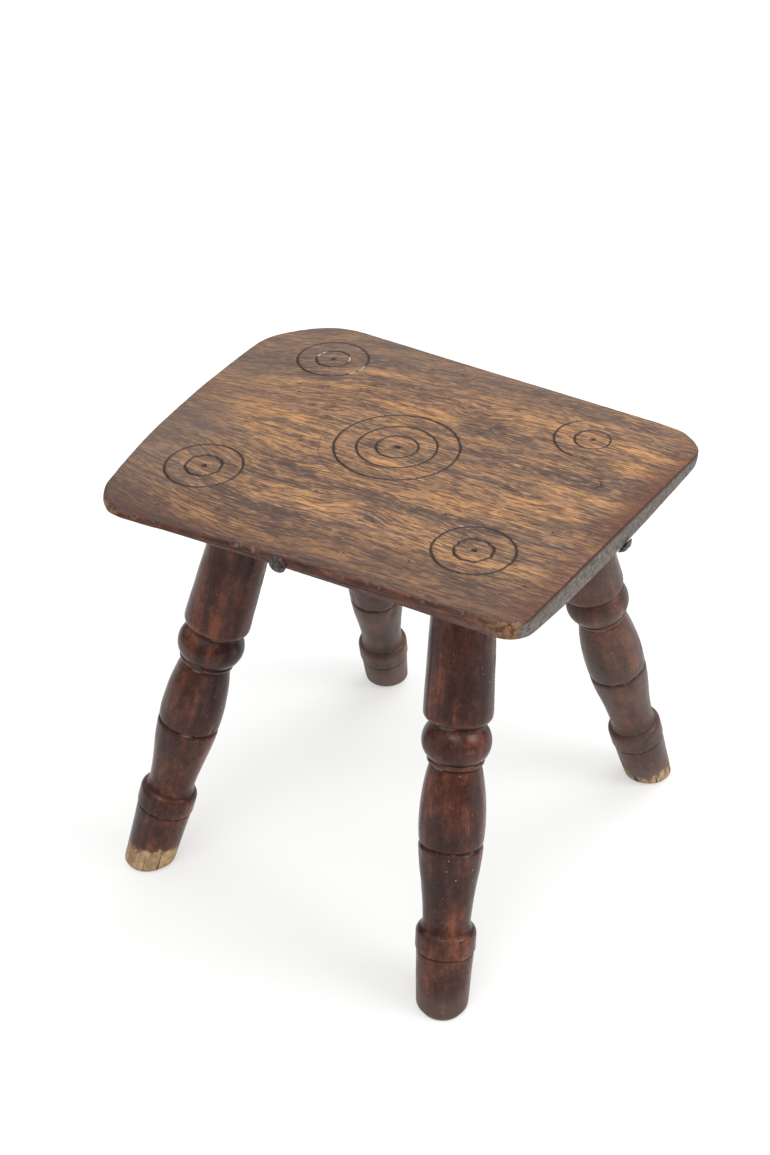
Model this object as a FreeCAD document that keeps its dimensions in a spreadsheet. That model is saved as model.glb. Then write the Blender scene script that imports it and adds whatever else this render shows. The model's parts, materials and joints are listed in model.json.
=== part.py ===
"""Four-legged wooden milking stool: a slab seat on turned legs held in blind, fox-wedged sockets.

The row frame stands on the floor under the middle of the stool: +X along the seat's grain, +Y from the
front edge to the back, +Z up. Lengths are millimetres and angles degrees.
"""
import FreeCAD, Part
import os
import Sketcher
from FreeCAD import Vector

document = FreeCAD.newDocument("milking_stool")

# Driving dimensions: spreadsheet alias, value and meaning.
GENERAL_DIMENSIONS = (
    ("seat_height", 305, "floor to the flat top of the seat"),
    ("seat_thickness", 22, "seat at its thickest, along the keel of its underside"),
    ("front_edge_y", -134.7, "front edge of the seat"),
    ("front_left_x", -142.4, "front left corner before rounding"),
    ("front_right_x", 139.5, "front right corner before rounding"),
    ("back_left_x", -156.8, "back left corner before rounding"),
    ("back_left_y", 138.4, "back left corner before rounding"),
    ("back_right_x", 162.7, "back right corner before rounding"),
    ("back_right_y", 103.8, "back right corner before rounding"),
    ("left_edge_radius", 1000, "outward bow of the left edge"),
    ("front_left_round", 31, "front left corner radius"),
    ("front_right_round", 17, "front right corner radius"),
    ("back_left_round", 54, "back left corner radius"),
    ("back_right_round", 25, "back right corner radius"),
    ("waste_front_y", -150, "front of the wood hewn away below the underside"),
    ("waste_back_y", 150, "back of the wood hewn away"),
    ("waste_half_length", 170, "half length of the wood hewn away"),
    ("waste_depth", 5, "depth of the wood hewn away, below the lowest point"),
    ("top_arris_round", 2.5, "wear on the top edge"),
    ("bottom_arris_round", 1.5, "wear on the bottom edge"),
    ("motif_groove_width", 1.4, "scribed ring, width at the surface"),
    ("motif_groove_depth", 0.9, "scribed ring, depth"),
    ("motif_prick_radius", 1.5, "compass prick, radius at the surface"),
    ("motif_prick_depth", 2.5, "compass prick, depth"),
    ("centre_outer_ring", 39.5, "centre motif, outer ring radius"),
    ("centre_middle_ring", 25.3, "centre motif, middle ring radius"),
    ("centre_inner_ring", 13.4, "centre motif, inner ring radius"),
    ("corner_outer_ring", 24.2, "corner motifs, outer ring radius"),
    ("corner_inner_ring", 11.4, "corner motifs, inner ring radius"),
    ("leg_datum_height", 276, "height at which each leg's top position is given"),
    ("foot_radius", 16.9, "leg radius at the floor"),
    ("foot_top_radius", 18.6, "leg radius just under the foot's groove"),
    ("foot_overrun", 12, "turning left below the floor, before the foot is cut level"),
    ("foot_groove_radius", 18.2, "bottom of the groove over the foot"),
    ("foot_groove_half", 0.9, "half height of the groove over the foot"),
    ("ankle_ring_radius", 19.5, "ring over the foot"),
    ("ankle_ring_height", 12, "ring's straight part, above the groove's middle"),
    ("ankle_round", 4.4, "quarter round on top of the ring"),
    ("waist_step_radius", 16.2, "narrow step over the ring"),
    ("waist_radius", 15.4, "narrowest part of the vase"),
    ("waist_height", 20.6, "waist, above the foot groove"),
    ("vase_middle_radius", 18, "vase halfway between waist and its groove"),
    ("vase_middle_drop", 26, "that point, below the vase groove"),
    ("vase_lower_curve", 302, "hollow curve of the vase near its waist"),
    ("vase_upper_curve", 199, "swelling curve of the vase under its groove"),
    ("vase_radius", 20.6, "vase at its groove"),
    ("vase_shoulder_curve", 161, "swelling curve of the vase above its groove"),
    ("vase_groove_half", 1.8, "half height of the vase groove"),
    ("vase_groove_depth", 1.2, "depth of the vase groove"),
    ("vase_neck_radius", 16.1, "top of the vase"),
    ("vase_neck_drop", 14.2, "top of the vase, below the bead's middle"),
    ("collar_radius", 18.2, "thin collar under the bead"),
    ("collar_drop", 13.6, "bottom of the collar, below the bead's middle"),
    ("collar_height", 2.8, "height of the collar"),
    ("bead_radius", 22.3, "bead at its fattest"),
    ("bead_foot_radius", 18.1, "bead at its top and bottom"),
    ("bead_half_height", 10.4, "half height of the bead"),
    ("neck_radius", 17, "narrow neck over the bead, where it meets the post"),
    ("post_bottom_radius", 20.1, "upper post, inside its rounded bottom edge"),
    ("post_radius", 21.8, "upper post at its widest"),
    ("post_full", 3.5, "height over the post's bottom edge where it is widest"),
    ("post_top_radius", 19.1, "upper post where it meets the seat"),
    ("tenon_radius", 11.5, "tenon and socket"),
    ("socket_cover", 7, "seat top down to the middle of a socket's blind end"),
    ("tenon_gap", 0.5, "tenon end to socket end, along the leg"),
    ("wedge_length", 8.5, "fox wedge along the leg"),
    ("wedge_width", 19, "fox wedge across the seat's grain"),
    ("wedge_butt", 3.2, "fox wedge, thick end"),
    ("wedge_tip", 0.8, "fox wedge, thin end"),
    ("stud_head_radius", 5.9, "round iron stud, head radius"),
    ("stud_rim", 0.8, "stud head, rim thickness"),
    ("stud_head_height", 3.4, "stud head, height over the wood"),
    ("stud_shank_radius", 1.6, "stud shank"),
    ("stud_shank_length", 9, "stud shank, without its point"),
    ("stud_point_length", 3, "stud point"),
    ("front_stud_x", -11, "front stud along the front edge"),
    ("front_stud_drop", 6.1, "front stud, below the seat's top"),
    ("right_stud_x", 150.2, "right stud, on the bottom edge of the seat's right end"),
    ("right_stud_y", -9, "right stud along the right end"),
    ("right_stud_drop", 17.8, "right stud, below the seat's top"),
    ("right_stud_dip", 35, "right stud points this far below level"),
)

# One row for each section of the hewn underside: name, place along the seat in half lengths of the
# waste, y of its lowest point, then how far the front of the waste, that lowest point and the back of the
# waste stand over the thickest part of the seat.
HEWN_SECTIONS = (
    ("left", -1, -40, 17.6, 4, 12),
    ("middle", 0, -40, 18.8, 0, 13.9),
    ("right", 1, -80, 10, 5.4, 16.4),
)
SECTION_FIELDS = ("keel_y", "front_rise", "keel_rise", "back_rise")

# One row for each motif: name, x, y. The motifs are decoration and stand beside the sockets.
MOTIFS = (
    ("centre", -7.8, 3.8),
    ("front_left", -102.9, -69.7),
    ("front_right", 84.7, -78.3),
    ("back_left", -101.1, 87.9),
    ("back_right", 96.7, 68),
)

# One row for each leg: name, foot x, foot y, top x, top y, then the heights of the foot, of the vase up
# to its groove, from that groove to the bead's middle, and from there to the post, and last its girth as
# a share of the general radii. The legs are hand turned and unevenly worn.
LEGS = (
    ("front_left", -139.9, -118.5, -79.5, -55.5, 48.6, 71.4, 63.5, 13.9, 1),
    ("front_right", 100.4, -141, 73.8, -63.1, 39.5, 74.4, 68.2, 14.7, 0.985),
    ("back_left", -90.1, 141.4, -75.8, 67.9, 30.8, 71.7, 65.2, 13.5, 0.97),
    ("back_right", 135.8, 129.5, 81.3, 59.1, 41.1, 74, 66.2, 12.2, 0.98),
)
LEG_FIELDS = (
    "foot_x", "foot_y", "top_x", "top_y", "foot_height", "lower_vase", "upper_vase", "neck_height", "girth",
)
LEG_NAMES = tuple(leg[0] for leg in LEGS)
STUDS = ("front_edge_stud", "right_edge_stud")

# Tolerances: a length that counts as nothing, and the looseness of a box or of a direction.
NOTHING = 1e-6
SLACK = 0.01


def make_sheet():
    """Write every driving dimension in a cell of its own and name the cell."""
    sheet = document.addObject("Spreadsheet::Sheet", "dims")
    rows = list(GENERAL_DIMENSIONS)
    for name, _, *values in HEWN_SECTIONS:
        for field, value in zip(SECTION_FIELDS, values):
            rows.append((name + "_" + field, value, "underside"))
    for name, x, y in MOTIFS:
        rows.append((name + "_motif_x", x, "motif centre"))
        rows.append((name + "_motif_y", y, "motif centre"))
    for name, *values in LEGS:
        for field, value in zip(LEG_FIELDS, values):
            rows.append((name + "_" + field, value, "leg"))
    for number, (alias, value, meaning) in enumerate(rows, start=1):
        sheet.set("A%d" % number, meaning)
        sheet.set("B%d" % number, str(value))
        sheet.setAlias("B%d" % number, alias)
    document.recompute()


def origin_plane(body, role):
    return next(item for item in body.Origin.OriginFeatures if item.Role == role)


def new_body(name):
    body = document.addObject("PartDesign::Body", name)
    body.Label = name
    return body


def new_sketch(body, name, role):
    sketch = body.newObject("Sketcher::SketchObject", name)
    sketch.AttachmentSupport = [(origin_plane(body, role), "")]
    sketch.MapMode = "FlatFace"
    return sketch


def amount(item, expression):
    """Value of an expression over the spreadsheet, in millimetres or degrees."""
    value = item.evalExpression(expression)
    return float(getattr(value, "Value", value))


def line_end(sketch, edge, place):
    """1 if an edge starts at a place and 2 if it ends there, because an arc may run either way round."""
    if sketch.getPoint(edge, 1).distanceToPoint(place) < NOTHING:
        return 1
    return 2


def pin_point(sketch, edge, end, corner):
    """Hold an end of an edge at the coordinates that a corner's expressions give."""
    for kind, axis, expression in (("DistanceX", -2, corner[0]), ("DistanceY", -1, corner[1])):
        value = amount(sketch, expression)
        if abs(value) < NOTHING:
            sketch.addConstraint(Sketcher.Constraint("PointOnObject", edge, end, axis))
            continue
        index = sketch.addConstraint(Sketcher.Constraint(kind, -1, 1, edge, end, value))
        sketch.setExpression("Constraints[%d]" % index, expression)


def draw_outline(sketch, corners):
    """Draw a closed outline through corners (x, y). A corner (x, y, radius, side) starts an arc of that
    radius, which bulges to the right of its way round (side 1) or to the left (side -1)."""
    first = sketch.GeometryCount
    count = len(corners)
    places = [Vector(amount(sketch, corner[0]), amount(sketch, corner[1]), 0) for corner in corners]
    for number, corner in enumerate(corners):
        start = places[number]
        end = places[(number + 1) % count]
        if len(corner) == 2:
            sketch.addGeometry(Part.LineSegment(start, end))
            continue
        radius = amount(sketch, corner[2])
        chord = end - start
        rise = radius - (radius ** 2 - (chord.Length / 2) ** 2) ** 0.5
        outward = Vector(chord.y, -chord.x, 0).normalize()
        sketch.addGeometry(Part.Arc(start, start + chord * 0.5 + outward * (rise * corner[3]), end))
    for number, corner in enumerate(corners):
        edge = first + number
        before = first + (number - 1) % count
        here = places[number]
        starts = line_end(sketch, edge, here)
        sketch.addConstraint(
            Sketcher.Constraint("Coincident", edge, starts, before, line_end(sketch, before, here))
        )
        pin_point(sketch, edge, starts, corner)
        if len(corner) > 2:
            index = sketch.addConstraint(Sketcher.Constraint("Radius", edge, amount(sketch, corner[2])))
            sketch.setExpression("Constraints[%d]" % index, corner[2])


def revolve(body, kind, name, sketch):
    """Turn a sketch about its own upright axis, adding or cutting."""
    feature = body.newObject(kind, name)
    feature.Profile = sketch
    feature.ReferenceAxis = (sketch, ["V_Axis"])
    feature.Angle = 360
    sketch.Visibility = False
    return feature


def edges_where(feature, wanted):
    """Names of a feature's edges for which a test holds."""
    names = []
    for number, edge in enumerate(feature.Shape.Edges, start=1):
        if wanted(edge):
            names.append("Edge%d" % number)
    return names


def leg_frame(name, lower="0"):
    """Expression for a leg's own frame: origin on the floor in the middle of the foot, +Z up the leg."""
    foot = "dims.{0}_foot_x; dims.{0}_foot_y; {1}".format(name, lower)
    lean_x = "(dims.{0}_top_x - dims.{0}_foot_x)".format(name)
    lean_y = "(dims.{0}_top_y - dims.{0}_foot_y)".format(name)
    axis = "create(<<vector>>; -{1}; {0}; 0)".format(lean_x, lean_y)
    turn = "create(<<rotation>>; {0}; {1})".format(axis, leg_lean(name))
    return "create(<<placement>>; create(<<vector>>; {0}); {1})".format(foot, turn)


def leg_lean(name):
    """Expression for the angle between a leg and the upright."""
    lean_x = "(dims.{0}_top_x - dims.{0}_foot_x)".format(name)
    lean_y = "(dims.{0}_top_y - dims.{0}_foot_y)".format(name)
    return "atan(hypot({0}; {1}) / dims.leg_datum_height)".format(lean_x, lean_y)


def socket_end(name):
    """Expression for the blind end of a leg's socket, measured up the leg from the floor."""
    return "(dims.seat_height - dims.socket_cover) / cos({0})".format(leg_lean(name))


def make_seat():
    """Slab seat: outline, hewn underside, worn edges, four blind sockets, stud holes and motifs."""
    body = new_body("seat_board")
    body.setExpression(".Placement.Base.z", "dims.seat_height - dims.seat_thickness")
    outline = new_sketch(body, "seat_outline", "XY_Plane")
    draw_outline(outline, (
        ("dims.front_left_x", "dims.front_edge_y"),
        ("dims.front_right_x", "dims.front_edge_y"),
        ("dims.back_right_x", "dims.back_right_y"),
        ("dims.back_left_x", "dims.back_left_y", "dims.left_edge_radius", 1),
    ))
    slab = body.newObject("PartDesign::Pad", "slab")
    slab.Profile = outline
    slab.setExpression("Length", "dims.seat_thickness")
    document.recompute()
    round_corners(body, slab)
    hewn = hew_underside(body)
    document.recompute()
    wear_edges(body, hewn)
    for name in LEG_NAMES:
        bore_socket(body, name)
    for stud in STUDS:
        bore_stud_hole(body, stud)
    for name, *_ in MOTIFS:
        scribe_motif(body, name)
    document.recompute()
    return body


def round_corners(body, slab):
    """Round the slab's four upright corners, each to its own radius."""
    feature = slab
    for name in LEG_NAMES:
        corner = Vector(-1 if "left" in name else 1, -1 if "front" in name else 1, 0)
        upright = edges_where(feature, is_upright)
        nearest = max(upright, key=lambda edge: feature.getSubObject(edge).CenterOfMass.dot(corner))
        fillet = body.newObject("PartDesign::Fillet", name + "_corner")
        fillet.Base = (feature, [nearest])
        fillet.setExpression("Radius", "dims.%s_round" % name)
        document.recompute()
        feature = fillet


def is_upright(edge):
    """True on an edge that runs straight up."""
    return abs(edge.tangentAt(edge.FirstParameter).z) > 1 - SLACK


def hew_underside(body):
    """Hew the underside: curved across the grain from its keel, and thinner towards both ends."""
    sections = []
    for name, place, *_ in HEWN_SECTIONS:
        section = new_sketch(body, name + "_waste", "YZ_Plane")
        section.setExpression(".AttachmentOffset.Base.z", "%d * dims.waste_half_length" % place)
        draw_outline(section, (
            ("dims.waste_front_y", "-dims.waste_depth"),
            ("dims.waste_back_y", "-dims.waste_depth"),
            ("dims.waste_back_y", "dims.%s_back_rise" % name, hewn_curve(name, "back"), -1),
            ("dims.%s_keel_y" % name, "dims.%s_keel_rise" % name, hewn_curve(name, "front"), -1),
            ("dims.waste_front_y", "dims.%s_front_rise" % name),
        ))
        sections.append(section)
    waste = body.newObject("PartDesign::SubtractiveLoft", "hewn_underside")
    waste.Profile = sections[0]
    waste.Sections = sections[1:]
    waste.Ruled = False
    return waste


def hewn_curve(name, side):
    """Expression for the radius of an arc of the underside, which leaves the keel level."""
    run = "(dims.waste_{1}_y - dims.{0}_keel_y)".format(name, side)
    rise = "(dims.{0}_{1}_rise - dims.{0}_keel_rise)".format(name, side)
    return "({0}^2 + {1}^2) / (2 * {1})".format(run, rise)


def wear_edges(body, hewn):
    """Soften the edge round the top, then the edge round the underside."""
    top = body.newObject("PartDesign::Fillet", "top_arris")
    top_height = amount(body, "dims.seat_thickness")
    top.Base = (hewn, edges_where(hewn, lambda edge: edge.BoundBox.ZMin > top_height - SLACK))
    top.setExpression("Radius", "dims.top_arris_round")
    document.recompute()
    bottom = body.newObject("PartDesign::Fillet", "bottom_arris")
    bottom.Base = (top, edges_where(top, lambda edge: is_bottom_edge(top.Shape, edge)))
    bottom.setExpression("Radius", "dims.bottom_arris_round")
    document.recompute()


def is_bottom_edge(shape, edge):
    """True on an edge where the hewn underside meets one of the slab's sides."""
    arris_bottom = amount(document.dims, "seat_thickness - top_arris_round")
    if edge.BoundBox.ZMax > arris_bottom - SLACK:
        return False
    sides = [face for face in shape.ancestorsOfType(edge, Part.Face) if is_side(face)]
    return len(sides) == 1


def is_side(face):
    """True on a face that stands upright."""
    first_u, last_u, first_v, last_v = face.ParameterRange
    return abs(face.normalAt((first_u + last_u) / 2, (first_v + last_v) / 2).z) < SLACK


def seat_tool(body, kind, name, frame):
    """A cutting primitive of the seat, attached at a frame given by an expression."""
    tool = body.newObject(kind, name)
    tool.AttachmentSupport = [(origin_plane(body, "XY_Plane"), "")]
    tool.MapMode = "FlatFace"
    tool.setExpression("AttachmentOffset", frame)
    return tool


def bore_socket(body, name):
    """Bore the blind round socket of a leg, along the leg."""
    frame = leg_frame(name, "dims.seat_thickness - dims.seat_height")
    socket = seat_tool(body, "PartDesign::SubtractiveCylinder", name + "_socket", frame)
    socket.setExpression("Radius", "dims.tenon_radius")
    socket.setExpression("Height", socket_end(name))


def stud_frame(name, lower="0"):
    """Expression for a stud's frame: origin under its head, +Z out of the wood."""
    if name == "front_edge_stud":
        place = "dims.front_stud_x; dims.front_edge_y; dims.seat_height - dims.front_stud_drop"
        turn = "create(<<vector>>; 1; 0; 0); 90"
    else:
        place = "dims.right_stud_x; dims.right_stud_y; dims.seat_height - dims.right_stud_drop"
        turn = "create(<<vector>>; 0; 1; 0); 90 + dims.right_stud_dip"
    base = "create(<<vector>>; %s + %s)" % (place, lower)
    return "create(<<placement>>; %s; create(<<rotation>>; %s))" % (base, turn)


def bore_stud_hole(body, name):
    """Bore the hole for a stud's shank."""
    frame = stud_frame(name, "dims.seat_thickness - dims.seat_height")
    depth = "dims.stud_shank_length + dims.stud_point_length"
    sink = "create(<<placement>>; create(<<vector>>; 0; 0; -(%s)); create(<<rotation>>; 0; 0; 0))" % depth
    hole = seat_tool(body, "PartDesign::SubtractiveCylinder", name + "_hole", frame + " * " + sink)
    hole.setExpression("Radius", "dims.stud_shank_radius")
    hole.setExpression("Height", depth)


def scribe_motif(body, name):
    """Scribe a motif's rings and compass prick into the top."""
    sketch = new_sketch(body, name + "_motif", "XZ_Plane")
    sketch.setExpression(".AttachmentOffset.Base.x", "dims.%s_motif_x" % name)
    sketch.setExpression(".AttachmentOffset.Base.y", "dims.seat_thickness")
    sketch.setExpression(".AttachmentOffset.Base.z", "-dims.%s_motif_y" % name)
    rings = ("corner_outer_ring", "corner_inner_ring")
    if name == "centre":
        rings = ("centre_outer_ring", "centre_middle_ring", "centre_inner_ring")
    for ring in rings:
        draw_outline(sketch, (
            ("dims.%s - dims.motif_groove_width / 2" % ring, "0"),
            ("dims.%s" % ring, "-dims.motif_groove_depth"),
            ("dims.%s + dims.motif_groove_width / 2" % ring, "0"),
        ))
    draw_outline(sketch, (("0", "0"), ("0", "-dims.motif_prick_depth"), ("dims.motif_prick_radius", "0")))
    revolve(body, "PartDesign::Groove", name + "_rings", sketch)


def make_turning(name):
    """One leg as it comes off the lathe, with its foot cut level and its top running into the seat."""
    body = new_body(name + "_turning")
    body.setExpression("Placement", leg_frame(name))
    foot = "dims.%s_foot_height" % name
    groove = "%s + dims.%s_lower_vase" % (foot, name)
    bead = "%s + dims.%s_upper_vase" % (groove, name)
    post = "%s + dims.%s_neck_height" % (bead, name)
    tenon_end = socket_end(name) + " - dims.tenon_gap"
    girth = " * dims.%s_girth" % name
    bead_bulge = "((dims.bead_radius - dims.bead_foot_radius)%s)" % girth
    bead_curve = "(dims.bead_half_height^2 + {0}^2) / (2 * {0})".format(bead_bulge)
    profile = new_sketch(body, name + "_profile", "XZ_Plane")
    draw_outline(profile, (
        ("0", "-dims.foot_overrun"),
        ("dims.foot_radius" + girth, "-dims.foot_overrun"),
        ("dims.foot_radius" + girth, "0"),
        ("dims.foot_top_radius" + girth, foot + " - dims.foot_groove_half"),
        ("dims.foot_groove_radius" + girth, foot),
        ("dims.ankle_ring_radius" + girth, foot + " + dims.foot_groove_half"),
        ("dims.ankle_ring_radius" + girth, foot + " + dims.ankle_ring_height", "dims.ankle_round", 1),
        ("dims.waist_step_radius" + girth, foot + " + dims.ankle_ring_height + dims.ankle_round"),
        ("dims.waist_radius" + girth, foot + " + dims.waist_height", "dims.vase_lower_curve", -1),
        ("dims.vase_middle_radius" + girth, groove + " - dims.vase_middle_drop", "dims.vase_upper_curve", 1),
        ("dims.vase_radius" + girth, groove + " - dims.vase_groove_half"),
        ("dims.vase_radius" + girth + " - dims.vase_groove_depth", groove),
        ("dims.vase_radius" + girth, groove + " + dims.vase_groove_half", "dims.vase_shoulder_curve", 1),
        ("dims.vase_neck_radius" + girth, bead + " - dims.vase_neck_drop"),
        ("dims.collar_radius" + girth, bead + " - dims.collar_drop"),
        ("dims.collar_radius" + girth, bead + " - dims.collar_drop + dims.collar_height"),
        ("dims.bead_foot_radius" + girth, bead + " - dims.bead_half_height", bead_curve, 1),
        ("dims.bead_foot_radius" + girth, bead + " + dims.bead_half_height"),
        ("dims.neck_radius" + girth, post),
        ("dims.post_bottom_radius" + girth, post),
        ("dims.post_radius" + girth, post + " + dims.post_full"),
        ("dims.post_top_radius" + girth, tenon_end),
        ("0", tenon_end),
    ))
    revolve(body, "PartDesign::Revolution", name + "_turned", profile)
    document.recompute()
    floor = new_sketch(body, name + "_floor", "XY_Plane")
    floor.setExpression("AttachmentOffset", level_frame(name))
    floor.addGeometry(Part.Circle(Vector(0, 0, 0), Vector(0, 0, 1), 2 * amount(body, "dims.foot_radius")))
    floor.addConstraint(Sketcher.Constraint("Coincident", 0, 3, -1, 1))
    index = floor.addConstraint(Sketcher.Constraint("Radius", 0, 2 * amount(body, "dims.foot_radius")))
    floor.setExpression("Constraints[%d]" % index, "2 * dims.foot_radius")
    cut = body.newObject("PartDesign::Pocket", name + "_level_foot")
    cut.Profile = floor
    cut.setExpression("Length", "2 * dims.foot_overrun")
    document.recompute()
    return body


def level_frame(name):
    """Expression for the floor's plane, seen from a leg's own frame."""
    lean_x = "(dims.{0}_top_x - dims.{0}_foot_x)".format(name)
    lean_y = "(dims.{0}_top_y - dims.{0}_foot_y)".format(name)
    axis = "create(<<vector>>; -{1}; {0}; 0)".format(lean_x, lean_y)
    turn = "create(<<rotation>>; {0}; -{1})".format(axis, leg_lean(name))
    return "create(<<placement>>; create(<<vector>>; 0; 0; 0); %s)" % turn


def make_wedge(name):
    """Fox wedge, hidden in the end of a leg's tenon: it spreads the tenon along the seat's grain."""
    body = new_body("wedge_" + name)
    body.setExpression("Placement", leg_frame(name))
    profile = new_sketch(body, name + "_wedge_profile", "XZ_Plane")
    butt = socket_end(name) + " - dims.tenon_gap"
    tip = butt + " - dims.wedge_length"
    draw_outline(profile, (
        ("-dims.wedge_tip / 2", tip),
        ("dims.wedge_tip / 2", tip),
        ("dims.wedge_butt / 2", butt),
        ("-dims.wedge_butt / 2", butt),
    ))
    pad = body.newObject("PartDesign::Pad", name + "_wedge_width")
    pad.Profile = profile
    pad.SideType = "Symmetric"
    pad.setExpression("Length", "dims.wedge_width")
    return body


def make_leg(name, seat):
    """A finished leg: the turning, cut back by the seat to a scribed shoulder and a round tenon, and
    split for its wedge."""
    turning = make_turning(name)
    wedge = make_wedge(name)
    fitted = document.addObject("Part::Cut", name + "_fitted")
    fitted.Base = turning
    fitted.Tool = seat
    leg = document.addObject("Part::Cut", "leg_" + name)
    leg.Label = "leg_" + name
    leg.Base = fitted
    leg.Tool = wedge
    return leg, wedge


def make_stud(name):
    """Round-headed iron stud, driven into the edge of the seat."""
    body = new_body(name)
    body.setExpression("Placement", stud_frame(name))
    profile = new_sketch(body, name + "_profile", "XZ_Plane")
    dome = "(dims.stud_head_height - dims.stud_rim)"
    dome_radius = "(dims.stud_head_radius^2 + {0}^2) / (2 * {0})".format(dome)
    draw_outline(profile, (
        ("0", "-dims.stud_shank_length - dims.stud_point_length"),
        ("dims.stud_shank_radius", "-dims.stud_shank_length"),
        ("dims.stud_shank_radius", "0"),
        ("dims.stud_head_radius", "0"),
        ("dims.stud_head_radius", "dims.stud_rim", dome_radius, 1),
        ("0", "dims.stud_head_height"),
    ))
    revolve(body, "PartDesign::Revolution", name + "_turned", profile)
    return body


def check_and_export(pieces):
    """Stop on any failed object or bad shape, then write each piece to its own file."""
    document.recompute()
    for item in document.Objects:
        if "Invalid" in item.State or "Error" in item.State:
            raise RuntimeError("%s failed: %s" % (item.Name, item.State))
    for piece in pieces:
        shape = piece.Shape
        if shape.isNull() or not shape.isValid() or len(shape.Solids) != 1:
            raise RuntimeError("%s is not one valid solid" % piece.Label)
    os.makedirs("parts", exist_ok=True)
    whole = Part.makeCompound([piece.Shape for piece in pieces])
    print("overall", whole.optimalBoundingBox(True, False))
    for piece in pieces:
        piece.Shape.exportStep("parts/%s.step" % piece.Label)
        print("%-20s %10.1f mm3" % (piece.Label, piece.Shape.Volume))


make_sheet()
seat_board = make_seat()
all_pieces = [seat_board]
for leg_name in LEG_NAMES:
    all_pieces.extend(make_leg(leg_name, seat_board))
for stud_name in STUDS:
    all_pieces.append(make_stud(stud_name))
check_and_export(all_pieces)
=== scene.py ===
"""Wooden milking stool on a pale studio floor: slab seat with scribed rings, four turned legs, two studs.

Sizes and places are in millimetres in the CAD's row frame and become metres when a mesh is made.
Angles are degrees unless a name says otherwise.
"""
import json
import math
import random

import bpy
import numpy as np
from mathutils import Matrix, Vector, noise
from mathutils.geometry import convex_hull_2d, delaunay_2d_cdt


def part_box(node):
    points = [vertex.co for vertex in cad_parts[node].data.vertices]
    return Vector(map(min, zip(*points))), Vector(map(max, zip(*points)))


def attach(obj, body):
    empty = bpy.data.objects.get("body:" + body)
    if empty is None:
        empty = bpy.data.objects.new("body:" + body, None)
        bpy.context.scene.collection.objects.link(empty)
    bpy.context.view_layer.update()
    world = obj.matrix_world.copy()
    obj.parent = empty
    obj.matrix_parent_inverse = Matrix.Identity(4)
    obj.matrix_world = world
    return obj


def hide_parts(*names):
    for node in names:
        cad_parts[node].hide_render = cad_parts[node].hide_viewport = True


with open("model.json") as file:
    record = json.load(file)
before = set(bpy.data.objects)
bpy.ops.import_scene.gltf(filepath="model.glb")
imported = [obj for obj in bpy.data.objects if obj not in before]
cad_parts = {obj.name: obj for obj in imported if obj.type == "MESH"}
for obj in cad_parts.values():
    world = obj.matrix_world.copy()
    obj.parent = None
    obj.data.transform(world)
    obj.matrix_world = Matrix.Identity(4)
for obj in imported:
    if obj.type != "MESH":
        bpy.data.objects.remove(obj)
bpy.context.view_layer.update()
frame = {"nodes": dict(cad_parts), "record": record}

MM = 0.001
MOUNTS = {mount["name"]: Vector(mount["pos_m"]) / MM for mount in frame["record"]["mounts"]}
SEAT_HIGH = Vector(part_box("seat_board")[1]) / MM

# Camera: it stands to the right of the seat's front and looks down on it.
AZIMUTH = 28.43
ELEVATION = 34.7
CAMERA_ROLL = -0.46
CAMERA_DISTANCE = 1225.9
CAMERA_LENS = 53.93
CAMERA_AIM = Vector((-51.3, 67.4, 0))

# Hewn underside: place along the seat, y of the lowest point, rise of the front, keel and back.
SEAT_THICKNESS = 22
UNDERSIDE_SECTIONS = (
    (-170, -40, 17.6, 4, 12),
    (0, -40, 18.8, 0, 13.9),
    (170, -80, 10, 5.4, 16.4),
)
UNDERSIDE_FRONT_Y = -150
UNDERSIDE_BACK_Y = 150
KEEL_Y = -40

# Compass pricks: x, y, half length along the grain, half width, depth.
PRICKS = (
    (-7.8, 3.8, 3.3, 1.8, 3),
    (-102.9, -69.7, 2.3, 1.6, 2.6),
    (84.7, -78.3, 2.5, 1.7, 2.6),
    (-101.1, 87.9, 2.1, 1.7, 2.6),
    (96.7, 68, 2.4, 1.8, 2.6),
)
# Scribed rings: x, y, radius, depth, raggedness, the direction in which the ring fades, how much it fades
# there, and the directions in which pale filler is left in it.
RINGS = (
    (-7.8, 3.8, 13.4, 0.9, 0.5, 0, 0.1, ()),
    (-7.8, 3.8, 25.3, 0.9, 0.4, 0, 0.1, ()),
    (-7.8, 3.8, 39.5, 1.0, 0.4, 40, 0.15, ()),
    (-7.8, 3.8, 49.2, 0.22, 0.4, 60, 0.95, ()),
    (-102.9, -69.7, 11.4, 1.2, 2.6, 90, 0.1, ()),
    (-102.9, -69.7, 24.2, 1.0, 0.5, 90, 0.1, ()),
    (84.7, -78.3, 11.4, 1.2, 3.2, 90, 0.1, ()),
    (84.7, -78.3, 24.2, 1.0, 1.2, 90, 0.15, ()),
    (-101.1, 87.9, 11.4, 1.1, 1.4, 0, 0.1, (163, 28)),
    (-101.1, 87.9, 24.2, 1.0, 0.5, 60, 0.3, (-17,)),
    (96.7, 68, 11.4, 1.0, 1.0, -15, 0.5, ()),
    (96.7, 68, 24.2, 0.9, 0.6, 28, 0.97, ()),
    (117, 20, 5, 0.5, 0.3, 180, 1, ()),
)
GROOVE_WIDTH = 1.6
# Section of a groove: distance from its middle as a share of its width, and share of its depth.
GROOVE_SECTION = ((-1.0, 0), (-0.55, 0.12), (-0.26, 0.8), (0, 1), (0.26, 0.8), (0.55, 0.12), (1.0, 0))
# Clear room left for a groove's points on each side of its ring.
GROOVE_ROOM = 3.4
WORM_HOLES = 26

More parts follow.
